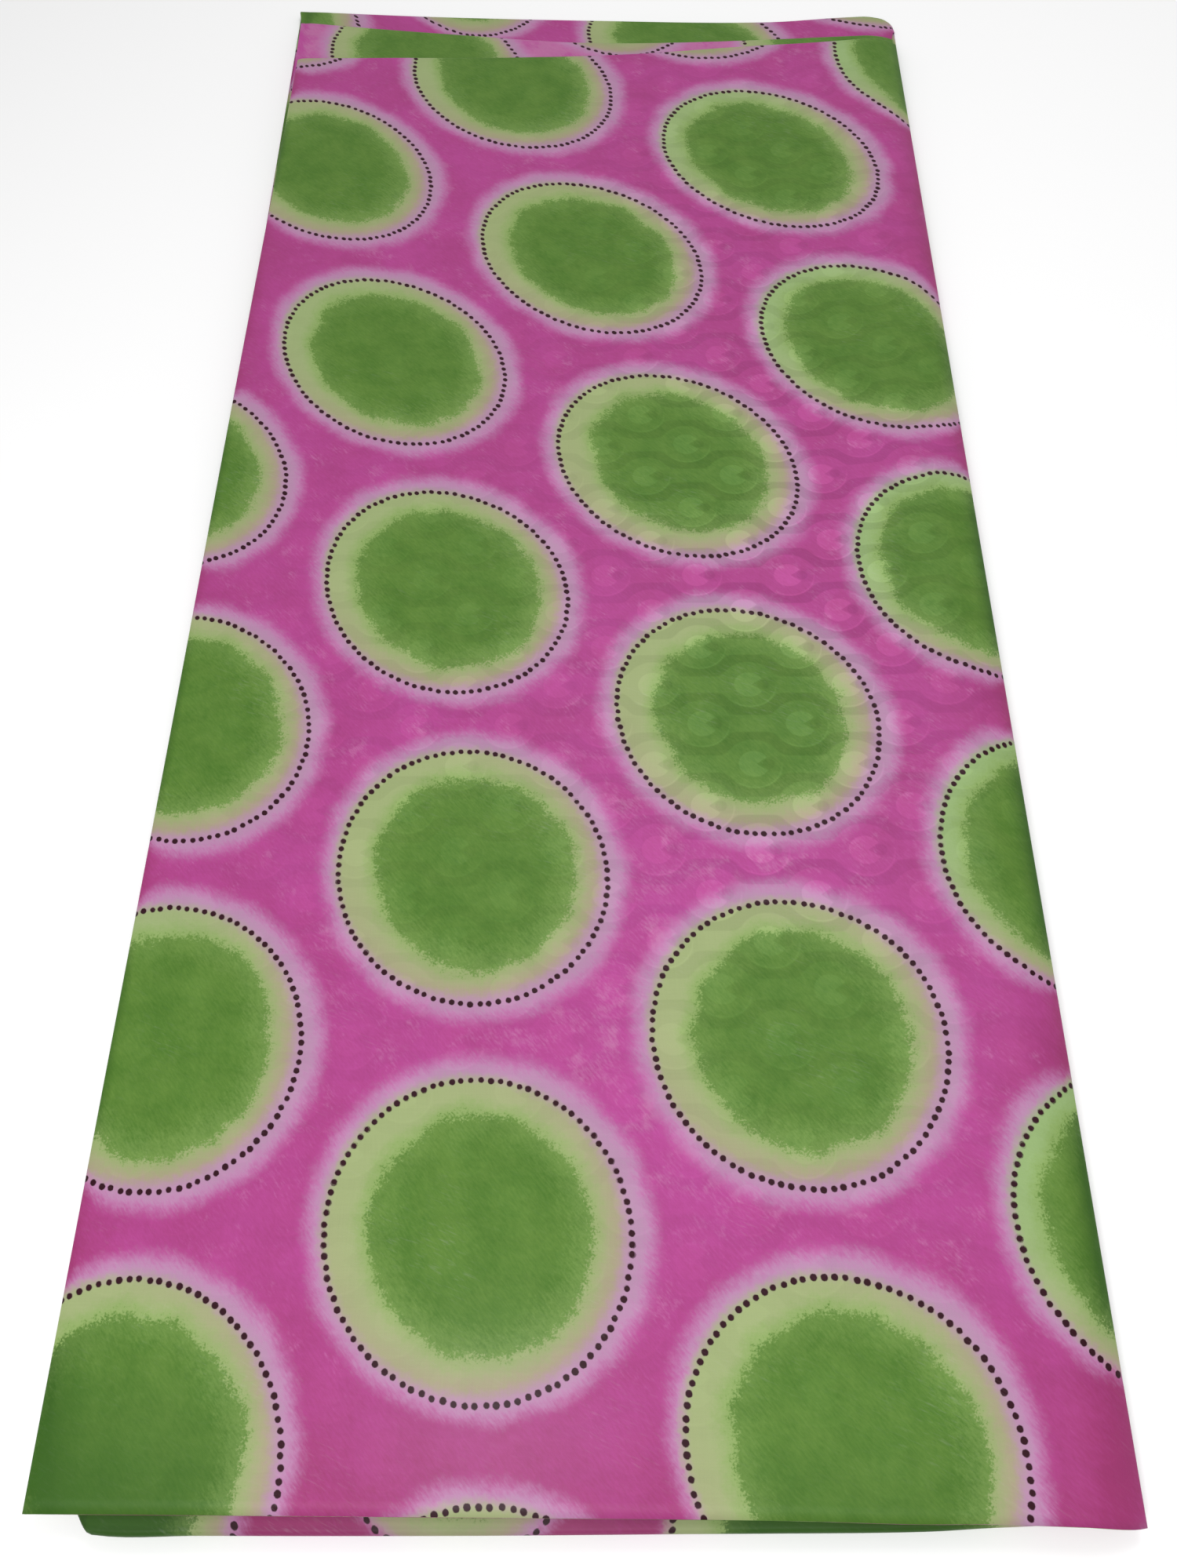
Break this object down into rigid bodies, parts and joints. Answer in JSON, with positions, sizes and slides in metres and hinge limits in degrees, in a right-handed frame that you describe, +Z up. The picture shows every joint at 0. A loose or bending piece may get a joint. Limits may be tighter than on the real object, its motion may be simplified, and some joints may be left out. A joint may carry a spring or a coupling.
{
  "type": "folded length of printed damask cotton",
  "caption": "Length of glazed printed damask cotton, folded lengthwise into a strip and laid to and fro in flat runs.",
  "frame": {"origin": "middle of the underside of the whole folded cloth", "axes": "+X across the strip to its rounded edge, +Y along the strip to its far end, +Z up"},
  "size_m": [0.3856, 0.8894, 0.0135],
  "materials": {
    "printed_damask": "starched and polished damask cotton, printed with green discs in dotted rings on pink"
  },
  "bodies": {
    "root": {"top_run": "printed_damask", "second_run": "printed_damask", "third_run": "printed_damask", "hidden_runs": "printed_damask", "bottom_run": "printed_damask"}
  },
  "joints": []
}
